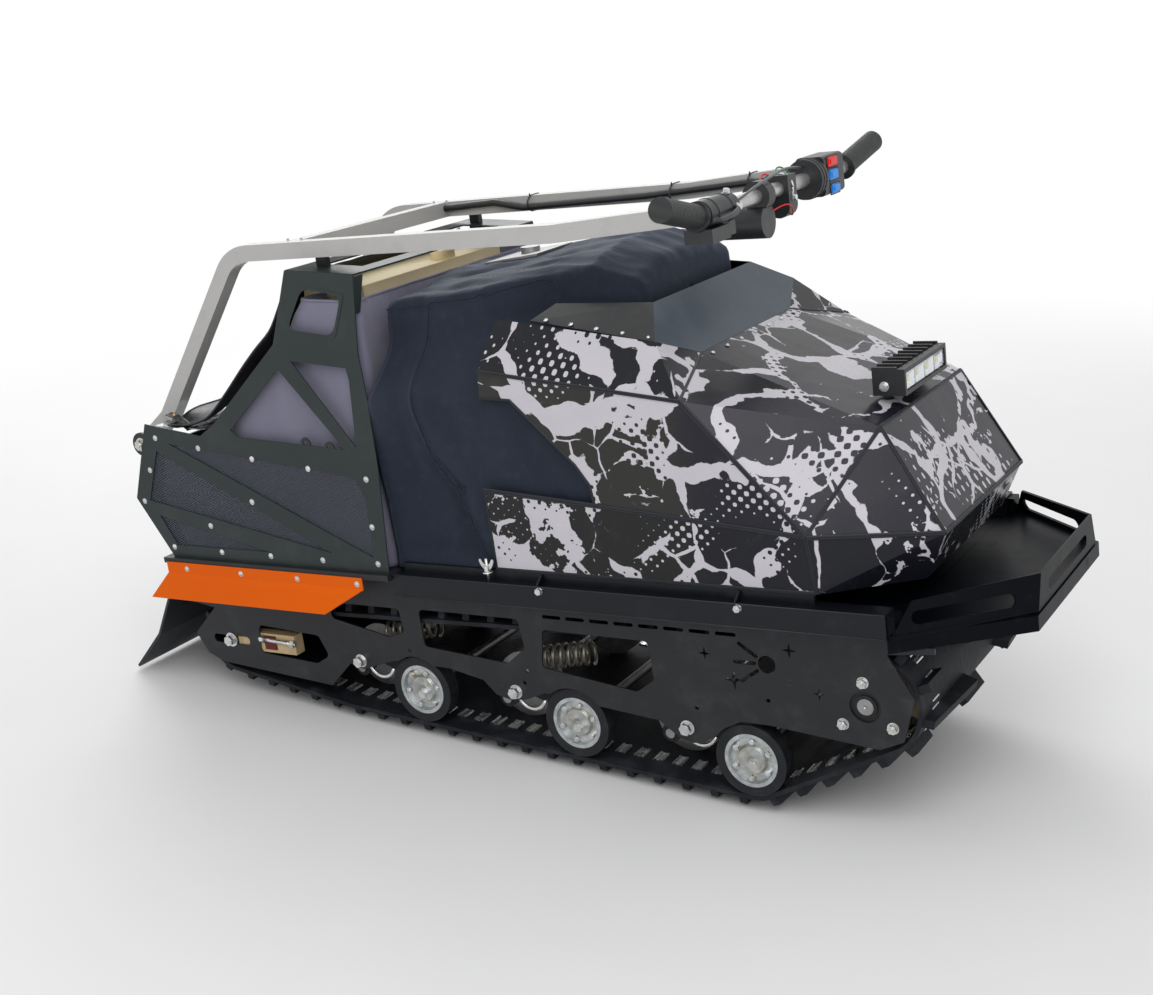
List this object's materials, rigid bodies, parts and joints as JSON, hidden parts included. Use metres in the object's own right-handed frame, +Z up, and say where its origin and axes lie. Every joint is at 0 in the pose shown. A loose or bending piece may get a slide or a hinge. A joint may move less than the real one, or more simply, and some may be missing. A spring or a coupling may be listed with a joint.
{
  "type": "tracked snow towing vehicle",
  "caption": "Walk-behind tracked snow tug: rubber track between cut steel side plates, faceted hood, fabric engine cover, rear cage and a fold-over towing handle.",
  "frame": {"origin": "on the ground under the middle of the machine's length, mid-width", "axes": "+X forward, +Y to the machine's left, +Z up"},
  "size_m": [1.7076, 0.7602, 0.9562],
  "materials": {
    "beige_plastic": "moulded",
    "black_paint": "satin",
    "cable_sheath": "taped",
    "cast": "cast",
    "cover_fabric": "woven",
    "flap_rubber": "matte",
    "grey_paint": "satin",
    "grip_rubber": "matte",
    "handle_paint": "satin",
    "hood_paint": "satin with a pale pattern",
    "lamp_body": "black anodised",
    "lamp_glass": "clear",
    "liner_fabric": "woven",
    "mesh": "fine mesh",
    "orange_paint": "satin",
    "steel_bar": "turned",
    "switch_plastic": "moulded",
    "tank_plastic": "moulded",
    "track_rubber": "matte",
    "tyre_rubber": "matte",
    "zinc": "bright zinc"
  },
  "bodies": {
    "chassis": {"air_scoop": "grey_paint", "bay_liner": "liner_fabric", "bearing_carriers": "cast", "bogie_arms": "black_paint", "bogie_studs": "zinc", "cage_ledges": "black_paint", "cage_panel_left": "grey_paint", "cage_panel_right": "grey_paint", "cage_top": "black_paint", "deck_pan": "black_paint", "drive_shaft": "steel_bar", "drive_sprockets": "beige_plastic", "engine_block": "cast", "engine_cover": "cover_fabric", "front_bumper": "black_paint", "fuel_tank": "tank_plastic", "hood_lower": "hood_paint", "hood_upper": "hood_paint", "idler_axle": "steel_bar", "idler_wheels": "beige_plastic", "lamp_housing": "lamp_body", "lamp_lens": "lamp_glass", "mesh_sheets": "mesh", "mud_flap": "flap_rubber", "pivot_brackets": "black_paint", "rear_beam": "black_paint", "rear_fenders": "orange_paint", "rear_panel": "grey_paint", "rest_buffers": "flap_rubber", "road_wheel_hubs": "zinc", "road_wheel_tyres": "tyre_rubber", "side_plate_left": "grey_paint", "side_plate_right": "grey_paint", "side_rails": "black_paint", "tension_blocks": "beige_plastic", "top_plate": "steel_bar", "tow_hitch": "black_paint", "track": "track_rubber", "wheel_axles": "steel_bar"},
    "handle": {"bar_controls": "switch_plastic", "cable_bundle": "cable_sheath", "grips": "grip_rubber", "handle_frame": "handle_paint", "handlebar": "handle_paint", "switch_box": "switch_plastic"}
  },
  "joints": [
    {"name": "handle_fold", "type": "hinge", "parent": "chassis", "child": "handle", "pos_m": [-0.77077, 0, 0.45904], "axis": [0, -1, 0], "range_deg": [0, 135]}
  ]
}
